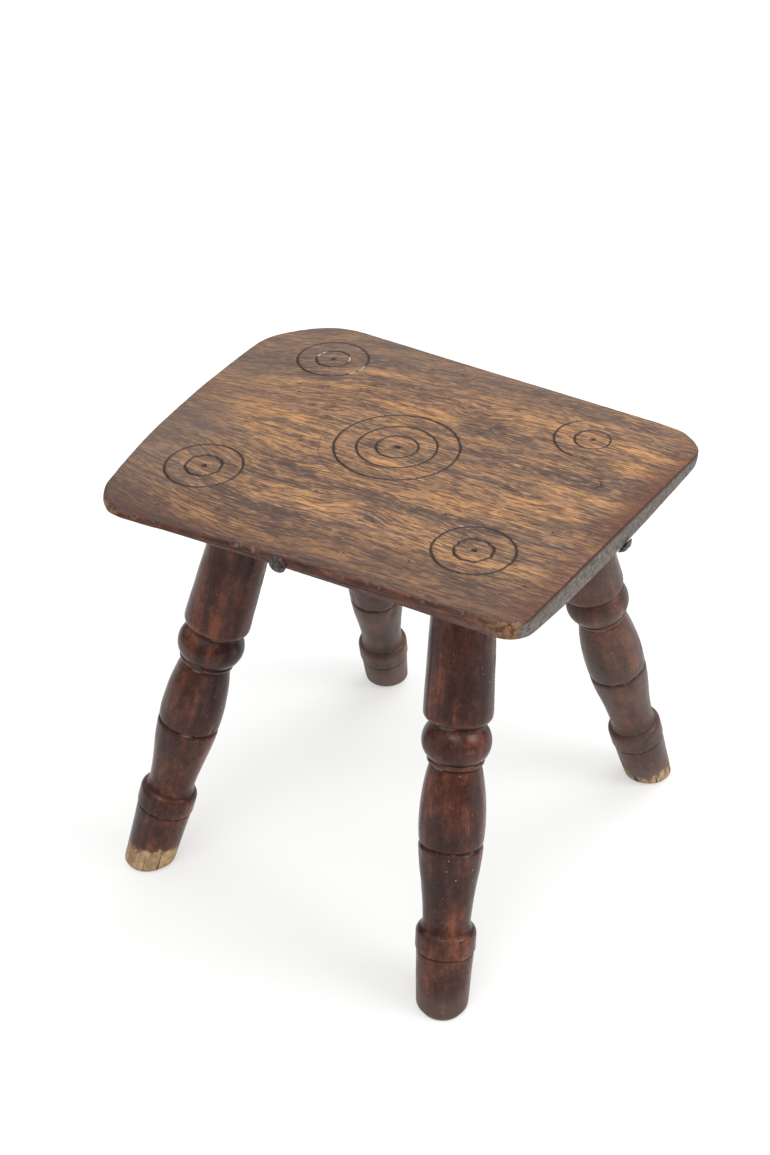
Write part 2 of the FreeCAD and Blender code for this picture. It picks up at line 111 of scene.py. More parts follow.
# Legs: lengths of the foot, of the vase up to its groove, from there to the bead's middle and from there
# to the post; girth; then how dusty the leg is and how far its foot is worn to bare wood.
LEGS = {
    "front_left": (48.6, 71.4, 63.5, 13.9, 1, 0.1, 1),
    "front_right": (39.5, 74.4, 68.2, 14.7, 0.985, 0.08, 0),
    "back_left": (30.8, 71.7, 65.2, 13.5, 0.97, 0.8, 0),
    "back_right": (41.1, 74, 66.2, 12.2, 0.98, 0.75, 0.45),
}
TENON_RADIUS = 11.5
SOCKET_COVER = 7
SOCKET_PLAY = 0.2
TENON_GAP = 0.5
SOCKET_SIDES = 48
SHOULDER_SINK = 0.6
TENON_CHAMFER = 0.8
FOOT_ROUND = 3.4
FLOOR_CLEARANCE = 0.01
LEG_SIDES = 112

# Spacing of the points on the seat's top and underside.
TOP_SPACING = 3.0
UNDERSIDE_SPACING = 5.0

STUD_LENGTH = 12
STUD_SIDES = 64
STUD_DIRECTIONS = {
    "front_edge_stud": Vector((0, -1, 0)),
    "right_edge_stud": Vector((math.cos(math.radians(35)), 0, -math.sin(math.radians(35)))),
}


def smooth_step(value, low, high):
    """0 below low, 1 above high and an easy curve between them."""
    share = np.clip((np.asarray(value, float) - low) / (high - low), 0, 1)
    return share * share * (3 - 2 * share)


def ripples(points, size, seed=0):
    """Perlin noise from -1 to 1 at points in millimetres. size is one wavelength, or one for each axis."""
    scaled = np.asarray(points, float) / size + 17.3 * seed
    values = [noise.noise(Vector(point)) for point in scaled.reshape(-1, 3)]
    return np.array(values).reshape(scaled.shape[:-1])


def circle(radius, angles, height):
    """Points of a ring about the Z axis. Its radius and height are one value, or one for each angle."""
    height = np.broadcast_to(height, angles.shape)
    return np.column_stack([radius * np.cos(angles), radius * np.sin(angles), height])


def make_piece(name, points, faces, masks, material, node):
    """Build a smooth mesh that stands for a CAD node. Masks are per-point values for the material."""
    mesh = bpy.data.meshes.new(name)
    mesh.from_pydata([tuple(point) for point in np.asarray(points, float) * MM], [], faces)
    mesh.validate()
    mesh.update()
    mesh.polygons.foreach_set("use_smooth", [True] * len(mesh.polygons))
    for mask, values in masks.items():
        values = np.asarray(values, np.float32)
        kind = "FLOAT" if values.ndim == 1 else "FLOAT_VECTOR"
        attribute = mesh.attributes.new(mask, kind, "POINT")
        attribute.data.foreach_set("value" if kind == "FLOAT" else "vector", values.ravel())
    mesh.materials.append(material)
    piece = bpy.data.objects.new(name, mesh)
    bpy.context.scene.collection.objects.link(piece)
    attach(piece, "root")
    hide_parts(node)
    return piece


def ring_faces(rows, count, flip=False):
    """Faces of a tube whose rows of points are stored one after another."""
    faces = []
    for row in range(rows - 1):
        for step in range(count):
            ahead = (step + 1) % count
            low, high = row * count, (row + 1) * count
            face = (low + step, low + ahead, high + ahead, high + step)
            faces.append(face[::-1] if flip else face)
    return faces


# ---------------------------------------------------------------- seat

def underside(x, y):
    """Height of the hewn underside, as in the CAD: arcs across the grain, blended along it."""
    x = np.asarray(x, float)
    y = np.asarray(y, float)
    heights = []
    for _, keel_y, front_rise, keel_rise, back_rise in UNDERSIDE_SECTIONS:
        end_y = np.where(y < keel_y, UNDERSIDE_FRONT_Y, UNDERSIDE_BACK_Y)
        end_rise = np.where(y < keel_y, front_rise, back_rise) - keel_rise
        radius = ((end_y - keel_y) ** 2 + end_rise ** 2) / (2 * end_rise)
        heights.append(keel_rise + radius - np.sqrt(radius ** 2 - (y - keel_y) ** 2))
    left, middle, right = heights
    along = x / UNDERSIDE_SECTIONS[2][0]
    rise = middle + (right - left) / 2 * along + ((left + right) / 2 - middle) * along ** 2
    return SEAT_HIGH.z - SEAT_THICKNESS + rise


def top_drop(x, y):
    """How far the worn top lies below its highest level."""
    points = np.stack([x, y, np.zeros_like(x)], -1)
    drop = 0.3 + 0.28 * ripples(points, (150, 60, 1), 1)
    drop += 0.07 + 0.07 * ripples(points, (60, 7, 1), 2)
    drop += 3.2 * smooth_step(-y, 40, 134) * smooth_step(-x, 10, 140)
    drop += 0.8 * smooth_step(-y, 110, 136)
    drop += 0.8 * smooth_step(x, 120, 160) * smooth_step(y, -20, 60)
    return np.clip(drop, 0.02, None)


def seat_outline(spacing=0.85):
    """Points round the CAD seat's outline, evenly spaced, with their outward directions."""
    seat = frame["nodes"]["seat_board"].data
    flat = [Vector((vertex.co.x / MM, vertex.co.y / MM)) for vertex in seat.vertices]
    corners = np.array([flat[index] for index in convex_hull_2d(flat)])
    closed = np.vstack([corners, corners[:1]])
    lengths = np.concatenate([[0], np.cumsum(np.linalg.norm(np.diff(closed, axis=0), axis=1))])
    count = round(lengths[-1] / spacing)
    places = np.linspace(0, lengths[-1], count, endpoint=False)
    points = np.stack([np.interp(places, lengths, closed[:, axis]) for axis in (0, 1)], -1)
    reach = np.arange(-6, 7)
    weights = np.exp(-reach ** 2 / 8.0)
    rolled = [np.roll(points, step, axis=0) * weight for step, weight in zip(reach, weights)]
    points = sum(rolled) / weights.sum()
    ahead = np.roll(points, -2, axis=0) - np.roll(points, 2, axis=0)
    area = (points[:, 0] * np.roll(points[:, 1], -1) - np.roll(points[:, 0], -1) * points[:, 1]).sum()
    if area < 0:
        points, ahead = points[::-1], -ahead[::-1]
    outward = np.stack([ahead[:, 1], -ahead[:, 0]], -1)
    return points, outward / np.linalg.norm(outward, axis=1)[:, None]


def quarter_turn(count):
    """Cosines and sines of even steps through a quarter turn."""
    return [(math.cos(angle), math.sin(angle)) for angle in np.linspace(0, math.pi / 2, count)]


def seat_edge(outline, outward):
    """Rows of points from the top's rim, over the worn arris and down the side to the underside's rim.
    Also returns how far the arris is chipped, for each of its rows."""
    front = smooth_step(-outward[:, 1], 0.6, 0.95)
    end = smooth_step(np.abs(outward[:, 0]), 0.6, 0.95)
    corner = smooth_step(np.minimum(np.abs(outward[:, 0]), np.abs(outward[:, 1])), 0.2, 0.65)
    along = np.column_stack([outline, np.zeros(len(outline))])
    uneven = 1 + 0.25 * ripples(along, 28, 3)
    top_in = (1.6 + 1.6 * front + 2.4 * corner) * uneven
    top_down = (1.4 + 2.4 * front + 1.8 * corner) * uneven
    low_in = (1.9 + 1.2 * end + 0.8 * corner) * uneven
    low_up = (1.3 + 0.8 * end + 0.8 * corner) * uneven
    rim = outline - outward * top_in[:, None]
    rim_z = SEAT_HIGH.z - top_drop(rim[:, 0], rim[:, 1])
    base = outline - outward * low_in[:, None]
    base_z = underside(base[:, 0], base[:, 1])
    chip_noise = ripples(along, 7, 4) + 0.5 * ripples(along, 2.6, 5)
    chips = np.clip(chip_noise - 0.05, 0, None) * (0.2 + 0.9 * front + 0.4 * corner)
    rows, chipped = [], []
    for cosine, sine in quarter_turn(9):
        bite = chips * 2 * sine * cosine
        rows.append((top_in * (1 - sine) + bite, rim_z - top_down * (1 - cosine) - 0.55 * bite))
        chipped.append(bite)
    for share in np.linspace(0.12, 0.88, 7):
        bulge = 0.5 * (2 * share - 1) ** 2
        z = (rim_z - top_down) * (1 - share) + (base_z + low_up) * share
        rows.append((np.full(len(outline), bulge), z))
    for cosine, sine in quarter_turn(7):
        rows.append((0.5 + low_in * (1 - cosine) - 0.5 * sine, base_z + low_up * (1 - sine)))
    points = []
    for inset, z in rows:
        flat = outline - outward * inset[:, None]
        row = np.column_stack([flat, z])
        rough = 0.22 + 0.18 * ripples(row, 11, 6) + 0.1 * ripples(row, 3.5, 7)
        away = smooth_step(inset, 0.3, 1.6)
        row[:, :2] -= outward * (rough * (1 - away))[:, None]
        points.append(row)
    return points, chipped


def hex_grid(spacing, low, high):
    """Points of an even triangular grid over a rectangle."""
    rows = enumerate(np.arange(low[1], high[1], spacing * math.sqrt(3) / 2))
    return np.array([
        (x, y) for number, y in rows for x in np.arange(low[0] + (number % 2) * spacing / 2, high[0], spacing)
    ])


def inside(points, rim):
    """True for each point inside a closed outline."""
    x, y = points[:, 0][:, None], points[:, 1][:, None]
    ahead = np.roll(rim, -1, axis=0)
    spans = (rim[:, 1] > y) != (ahead[:, 1] > y)
    slope = (ahead[:, 0] - rim[:, 0]) / (ahead[:, 1] - rim[:, 1] + 1e-12)
    return (spans & (x < rim[:, 0] + slope * (y - rim[:, 1]))).sum(1) % 2 == 1


def far_from(points, others, distance):
    """True for each point further than a distance from every other point."""
    result = np.ones(len(points), bool)
    for start in range(0, len(others), 400):
        gaps = points[:, None, :] - others[None, start:start + 400, :]
        result &= (np.einsum("ijk,ijk->ij", gaps, gaps) > distance ** 2).all(1)
    return result


def angle_share(angles, middle, spread):
    """1 near a direction and 0 further from it than the spread, for angles in radians."""
    away = np.abs((np.degrees(angles) - middle + 180) % 360 - 180)
    return 1 - smooth_step(away, spread * 0.45, spread)


def ring_groove(x, y, radius, depth, ragged, fade_at, fade, filled, seed):
    """Points over a hand-scribed ring, as rows of x, y, extra drop, dirt and pale filler."""
    count = round(2 * math.pi * radius / 0.75)
    angles = np.arange(count) / count * 2 * math.pi
    line = circle(radius, angles, 0) + (x, y, 0)
    strength = 1 - fade * angle_share(angles, fade_at, 150)
    breaks = ripples(line, 2.4, seed + 1)
    width = GROOVE_WIDTH * (1 + 0.25 * ripples(line, 6, seed) + 0.35 * ragged * np.clip(breaks, 0, None))
    depths = depth * (1 + 0.35 * ripples(line, 5, seed + 2)) * strength
    middle = radius + 0.35 * ripples(line, 14, seed + 3) + 0.35 * ragged * ripples(line, 3.1, seed + 4)
    filler = sum((angle_share(angles, direction, 34) for direction in filled), np.zeros(count))
    found = []
    for place, share in GROOVE_SECTION:
        r = middle + place * width
        dirt = share * np.clip(strength * 1.25, 0, 1) * min(1, depth * 1.4)
        ring = circle(r, angles, depths * share * (1 - 0.5 * filler)) + (x, y, 0)
        found.append(np.column_stack([ring, dirt, filler * (share > 0.1)]))
    return np.vstack(found)


def round_pit(x, y, length, width, depth, count=12):
    """Points over a compass prick or a worm hole, as rows of x, y, extra drop, dirt and pale filler."""
    angles = 2 * math.pi * np.arange(count) / count
    found = [[(x, y, depth, 1, 0)]]
    for place, share in ((0.4, 0.9), (0.75, 0.5), (1.1, 0.0)):
        r = place * (1 + 0.2 * np.sin(3 * angles + x))
        ring = circle(r, angles, depth * share) * (length, width, 1) + (x, y, 0)
        found.append(np.column_stack([ring, np.full(count, share), np.zeros(count)]))
    return np.vstack(found)


def top_details():
    """Points of every scribed ring, compass prick and worm hole on the top, and the rooms they fill."""
    found, rooms = [], []
    for number, (x, y, radius, *traits) in enumerate(RINGS):
        found.append(ring_groove(x, y, radius, *traits, 10 * number))
        rooms.append((x, y, radius - GROOVE_ROOM, radius + GROOVE_ROOM))
    for x, y, length, width, depth in PRICKS:
        found.append(round_pit(x, y, length, width, depth))
        rooms.append((x, y, 0, length + 1))
    draw = random.Random(5)
    while len(rooms) < len(RINGS) + len(PRICKS) + WORM_HOLES:
        x, y = draw.uniform(-140, 140), draw.uniform(-118, 108)
        size = draw.uniform(0.4, 0.9)
        if all(not low - 3 < math.hypot(x - u, y - v) < high + 3 for u, v, low, high in rooms):
            found.append(round_pit(x, y, size, size, draw.uniform(0.7, 1.5), 8))
            rooms.append((x, y, 0, size + 0.8))
    return np.vstack(found), rooms


def fill_cap(rim, extra, spacing, rooms, holes=()):
    """Triangles over a rim's inside. Returns the flat points, the rim's first, and the triangles."""
    grid = hex_grid(spacing, rim.min(0), rim.max(0))
    keep = inside(grid, rim)
    for x, y, low, high in rooms:
        away = np.hypot(grid[:, 0] - x, grid[:, 1] - y)
        keep &= (away < low) | (away > high)
    grid = grid[keep]
    grid = grid[far_from(grid, rim, spacing * 0.6)]
    for hole in holes:
        grid = grid[~inside(grid, hole) & far_from(grid, hole, spacing * 0.4)]
    points = np.vstack([rim, *holes, extra, grid])
    edges, start = [], 0
    for loop in (rim, *holes):
        edges += [(start + step, start + (step + 1) % len(loop)) for step in range(len(loop))]
        start += len(loop)
    made = delaunay_2d_cdt([Vector(point) for point in points], edges, [], 1, 1e-7)
    first = {new: sources[0] for new, sources in enumerate(made[3]) if sources}
    triangles = [tuple(first[corner] for corner in face) for face in made[2]]
    middles = points[np.array(triangles)].mean(1)
    wanted = np.ones(len(triangles), bool)
    for hole in holes:
        wanted &= ~inside(middles, hole)
    return points, [face for face, kept in zip(triangles, wanted) if kept]


def socket_faces(rows, mouth, start):
    """Faces of a blind socket: its mouth's points start at one number, its other rows at another."""
    around = len(rows[0])
    end = start + (len(rows) - 1) * around
    loops = [range(first, first + around) for first in (mouth, *range(start, end, around))]
    faces = []
    for step in range(around):
        ahead = (step + 1) % around
        faces += [(low[ahead], low[step], high[step], high[ahead]) for low, high in zip(loops, loops[1:])]
        faces.append((loops[-1][ahead], loops[-1][step], end))
    return faces


def make_seat(material):
    """The slab seat: one closed mesh with its worn edges, scribed top, hewn underside and blind sockets."""
    outline, outward = seat_outline()
    count = len(outline)
    edge, chipped = seat_edge(outline, outward)
    edge_end = count * len(edge)
    faces = ring_faces(len(edge), count, flip=True)

    details, rooms = top_details()
    flat, triangles = fill_cap(edge[0][:, :2], details[:, :2], TOP_SPACING, rooms)
    top = np.column_stack([flat, SEAT_HIGH.z - top_drop(flat[:, 0], flat[:, 1])])[count:]
    top[:len(details), 2] -= details[:, 2]
    shift = edge_end - count
    faces += [tuple(corner + shift * (corner >= count) for corner in face) for face in triangles]

    sockets = [socket_rows(name) for name in LEGS]
    mouths = [rows[0][:, :2] for rows in sockets]
    flat, triangles = fill_cap(edge[-1][:, :2], np.empty((0, 2)), UNDERSIDE_SPACING, (), mouths)
    hewn = np.column_stack([flat, underside(flat[:, 0], flat[:, 1])])
    hewn[:, 2] += hewing(hewn) * smooth_step(np.abs(hewn[:, 2] - underside(0, KEEL_Y)), 0, 0.5)
    under_start = edge_end + len(top)
    numbers = [*range(edge_end - count, edge_end), *range(under_start, under_start + len(hewn) - count)]
    faces += [tuple(numbers[corner] for corner in reversed(face)) for face in triangles]

    points = [*edge, top, hewn[count:]]
    mouth, start = under_start, under_start + len(hewn) - count
    for rows in sockets:
        points += rows[1:] + [rows[-1].mean(0)[None]]
        faces += socket_faces(rows, mouth, start)
        mouth += len(rows[0])
        start += (len(rows) - 1) * len(rows[0]) + 1
    points = np.vstack(points)

    masks = {name: np.zeros(len(points)) for name in ("dirt", "chips", "filler")}
    masks["chips"][:count * len(chipped)] = np.concatenate(chipped)
    masks["dirt"][edge_end:edge_end + len(details)] = details[:, 3]
    masks["filler"][edge_end:edge_end + len(details)] = details[:, 4]
    return make_piece("seat", points, faces, masks, material, "seat_board")


def hewing(points):
    """Shallow tool marks along the underside, always upwards."""
    return 0.25 + 0.25 * ripples(points * (1, 1, 0), (90, 13, 1), 8)


# ---------------------------------------------------------------- legs

def leg_axis(name):
    """A leg's foot and its unit direction, from its foot mount to the middle of its wedge."""
    foot = MOUNTS["foot_" + name]
    low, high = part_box("wedge_" + name)
    top = (low + high) / 2 / MM
    return foot, (top - foot).normalized()


def leg_matrix(name):
    """Axes of a leg: two across it and one up it, as columns."""
    axis = leg_axis(name)[1]
    side = Vector((0, 1, 0)).cross(axis).normalized()
    return np.array([side, axis.cross(side), axis]).T


def leg_to_world(name, points):
    """Points from a leg's own frame, with its foot at the origin and its axis along Z, to the stool's."""
    return np.array(leg_axis(name)[0]) + points @ leg_matrix(name).T


def cut_lengths(name, radius, angles, height_at):
    """How far up a leg the lines along its side reach a surface whose height is a function of x and y."""
    length = np.zeros(len(angles))
    for _ in range(12):
        x, y, z = leg_to_world(name, circle(radius, angles, length)).T
        length += (height_at(x, y) - z) / leg_axis(name)[1].z
    return length


def socket_rows(name):
    """Rows of points down a blind socket, from its mouth in the underside to its end."""
    angles = np.linspace(0, 2 * math.pi, SOCKET_SIDES, endpoint=False)
    radius = TENON_RADIUS + SOCKET_PLAY
    mouth = cut_lengths(name, radius, angles, underside)
    end = tenon_length(name) + TENON_GAP
    lengths = [mouth * (1 - share) + end * share for share in (0, 0.5, 1)]
    return [leg_to_world(name, circle(radius, angles, length)) for length in lengths]


def tenon_length(name):
    """Floor to the end of a tenon, along the leg."""
    return (SEAT_HIGH.z - SOCKET_COVER) / leg_axis(name)[1].z - TENON_GAP


def arc_points(start, end, radius, side, step=0.5):
    """Points along an arc that bulges away from the leg's axis (side 1) or towards it (side -1)."""
    start, end = np.array(start, float), np.array(end, float)
    chord = end - start
    length = np.linalg.norm(chord)
    across = np.array([chord[1], -chord[0]]) / length * side
    rise = math.sqrt(max(radius ** 2 - length ** 2 / 4, 0))
    centre = (start + end) / 2 - across * rise
    shares = np.linspace(0, 1, max(3, int(length / step)), endpoint=False)
    points = start + chord * shares[:, None] - centre
    return centre + points / np.linalg.norm(points, axis=1)[:, None] * radius


def leg_profile(name):
    """Radius and height of a leg's side from its foot to its top: the turner's profile with worn arrises.
    The third and fourth values tell how deep a place lies in a hollow and how far it stands proud."""
    foot, lower_vase, upper_vase, neck, girth = LEGS[name][:5]
    groove = foot + lower_vase
    bead = groove + upper_vase
    post = bead + neck
    corners = [
        (16.9, 0), (18.6, foot - 1.1), (17.8, foot), (19.4, foot + 1.2),
        (19.5, foot + 11.8, 4.4, 1), (16.5, foot + 16.2), (16.2, foot + 17.6),
        (15.4, foot + 20.6, 302, -1), (18, groove - 26, 199, 1),
        (20.6, groove - 1.9), (19.1, groove), (20.6, groove + 1.9, 161, 1),
        (16.1, bead - 14.3), (17.9, bead - 13.6), (18.2, bead - 11.5), (17.2, bead - 10.8),
        (18.1, bead - 10.2, 15, 1), (17.9, bead + 10.2), (17, post - 0.2), (20.2, post),
        (21.5, post + 2), (21.8, post + 4), (19.1, tenon_length(name)),
    ]
    dense = []
    for here, after in zip(corners, corners[1:]):
        if len(here) == 4:
            dense.append(arc_points(here[:2], after[:2], here[2], here[3]))
            continue
        start, end = np.array(here, float), np.array(after[:2], float)
        shares = np.linspace(0, 1, max(2, int(np.linalg.norm(end - start) / 0.25)), endpoint=False)
        dense.append(start + (end - start) * shares[:, None])
    dense = np.vstack(dense + [np.array([corners[-1]], float)])
    lengths = np.concatenate([[0], np.cumsum(np.linalg.norm(np.diff(dense, axis=0), axis=1))])
    even = np.arange(0, lengths[-1], 0.2)
    line = np.stack([np.interp(even, lengths, dense[:, axis]) for axis in (0, 1)], -1)
    worn = blur(line, 0.42 / 0.2)
    lie = (blur(line, 2.2 / 0.2) - worn)[:, 0]
    bend = np.abs(np.gradient(np.unwrap(np.arctan2(*np.gradient(worn, axis=0).T))))
    weight = np.cumsum(0.02 + bend)
    picks = np.interp(np.linspace(0, weight[-1], 170), weight, np.arange(len(worn)))
    columns = (worn[:, 0] * girth, worn[:, 1], np.clip(lie, 0, None), np.clip(-lie, 0, None))
    return [np.interp(picks, np.arange(len(worn)), column) for column in columns]


def blur(points, width):
    """Gaussian smoothing along a row of points, with the ends held."""
    reach = int(width * 3) + 1
    weights = np.exp(-np.arange(-reach, reach + 1) ** 2 / (2 * width ** 2))
    padded = np.pad(points, ((reach, reach), (0, 0)), mode="edge")
    return np.stack([np.convolve(column, weights / weights.sum(), "valid") for column in padded.T], -1)


def leg_rows(name, number, angles):
    """Rows of points up a leg's side, in the leg's own frame, with each row's masks."""
    foot_height = LEGS[name][0] - 2
    post_start = sum(LEGS[name][:4]) + 8
    radii, heights, hollows, crests = leg_profile(name)
    floor_cut = cut_lengths(name, radii[0], angles, floor_level)
    top_cut = cut_lengths(name, radii[-1], angles, shoulder_level)
    rows, masks = [], []
    for radius, height, hollow, crest in zip(radii, heights, hollows, crests):
        level = np.full(len(angles), height)
        if height < foot_height:
            level = floor_cut + (foot_height - floor_cut) * height / foot_height
        elif height > post_start:
            level = post_start + (top_cut - post_start) * (height - post_start) / (heights[-1] - post_start)
        over_floor = level - floor_cut
        lost = np.clip(FOOT_ROUND - over_floor, 0, FOOT_ROUND)
        girth = radius - (FOOT_ROUND - np.sqrt(FOOT_ROUND ** 2 - lost ** 2)) * 0.9
        place = circle(girth, angles, level)
        girth = girth * (1 + 0.004 * np.cos(2 * angles + number) + 0.003 * np.cos(3 * angles + 2 * number))
        girth += 0.16 * ripples(place, 16, 20 + number) + 0.05 * ripples(place, (4, 4, 9), 30 + number)
        girth -= 0.8 * smooth_step(ripples(place, (9, 9, 14), 40 + number), 0.52, 0.8)
        rows.append(circle(girth, angles, level))
        masks.append(np.column_stack([
            np.full(len(angles), min(1, hollow / 1.1)), np.full(len(angles), min(1, crest / 1.1)),
            1 - smooth_step(over_floor, 4, 30),
        ]))
    return rows, masks


def floor_level(x, y):
    """Height of the floor."""
    return 0 * x


def shoulder_level(x, y):
    """Height of a leg's scribed shoulder, just inside the underside."""
    return underside(x, y) + SHOULDER_SINK


def foot_bottom(edge_row):
    """Rows of the level underside of a foot, from its middle outwards."""
    middle = edge_row.mean(0)
    return [middle + (edge_row - middle) * share for share in (0.12, 0.4, 0.7, 0.9)]


def tenon_rows(name, angles):
    """Rows of a round tenon, from its shoulder to its end."""
    end = np.full(len(angles), tenon_length(name))
    shoulder = cut_lengths(name, TENON_RADIUS, angles, shoulder_level)
    sections = (
        (TENON_RADIUS, shoulder), (TENON_RADIUS, end - TENON_CHAMFER),
        (TENON_RADIUS - TENON_CHAMFER, end), (TENON_RADIUS / 2, end),
    )
    return [circle(radius, angles, z) for radius, z in sections]


def closed_tube(rows):
    """Points and faces of a tube closed at both ends with a fan about each end's middle."""
    around = len(rows[0])
    points = np.vstack(rows + [rows[0].mean(0)[None], rows[-1].mean(0)[None]])
    faces = ring_faces(len(rows), around)
    bottom, top = len(points) - 2, len(points) - 1
    last = (len(rows) - 1) * around
    for step in range(around):
        ahead = (step + 1) % around
        faces.append((ahead, step, bottom))
        faces.append((last + step, last + ahead, top))
    return points, faces


def make_leg(name, number, material):
    """A turned leg: level foot with a worn edge, profile, scribed shoulder and round tenon in one mesh."""
    angles = np.linspace(0, 2 * math.pi, LEG_SIDES, endpoint=False)
    side, side_masks = leg_rows(name, number, angles)
    bottom = foot_bottom(side[0])
    tenon = tenon_rows(name, angles)
    local, faces = closed_tube(bottom + side + tenon)
    world = leg_to_world(name, local)
    world[:, 2] = np.clip(world[:, 2], FLOOR_CLEARANCE, None)
    under = np.tile((0, 0, 1), (len(bottom) * LEG_SIDES, 1))
    hidden = np.zeros((len(tenon) * LEG_SIDES, 3))
    values = np.vstack([under, *side_masks, hidden, [(0, 0, 1), (0, 0, 0)]])
    masks = {
        "grain": local * MM + np.array((0.4, 0.7, 0.9)) * number,
        "dirt": values[:, 0],
        "crest": values[:, 1],
        "foot": values[:, 2],
        "dust": np.full(len(local), LEGS[name][5]),
        "pale": np.full(len(local), LEGS[name][6]),
    }
    return make_piece("turned_leg_" + name, world, faces, masks, material, "leg_" + name)


# ---------------------------------------------------------------- studs

def make_stud(name, number, material):
    """A forged stud: uneven domed head with a hammered face, and a shank down into the wood."""
    low, high = (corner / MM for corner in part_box(name))
    direction = STUD_DIRECTIONS[name]
    tip = (low + high) / 2
    for axis in range(3):
        if abs(direction[axis]) > 1e-6:
            tip[axis] = (high if direction[axis] < 0 else low)[axis]
    side = direction.orthogonal().normalized()
    turn = np.array([side, direction.cross(side), direction]).T
    head = STUD_LENGTH
    profile = [(0.3, 0), (1.3, 2.6), (1.5, 6), (1.5, head), (3.6, head - 0.02), (5.3, head + 0.05)]
    for angle in np.radians(np.linspace(0, 90, 8)):
        profile.append((5.1 + 0.7 * math.sin(angle), head + 0.75 - 0.7 * math.cos(angle)))
    for share in np.linspace(0.97, 0.06, 14):
        profile.append((5.75 * share, head + 0.8 + 2.35 * (1 - share ** 2)))
    angles = np.linspace(0, 2 * math.pi, STUD_SIDES, endpoint=False)
    rows = []
    for radius, height in profile:
        row = circle(radius, angles, height)
        if height > head + 0.2:
            row[:, 2] -= 0.35 * smooth_step(ripples(row, 3.2, 50 + number), -0.2, 0.6)
            row[:, :2] *= (0.97 + 0.03 * ripples(row, 5, 60 + number))[:, None]
        rows.append(row)
    local, faces = closed_tube(rows)
    world = np.array(tip) + local @ turn.T
    return make_piece(name + "_forged", world, faces, {"grain": local * MM}, material, name)


# ---------------------------------------------------------------- materials

def tone(red, green, blue):
    """Scene-linear colour of a display colour given from 0 to 255."""
    shares = [channel / 255 for channel in (red, green, blue)]
    return tuple(c / 12.92 if c <= 0.04045 else ((c + 0.055) / 1.055) ** 2.4 for c in shares) + (1,)


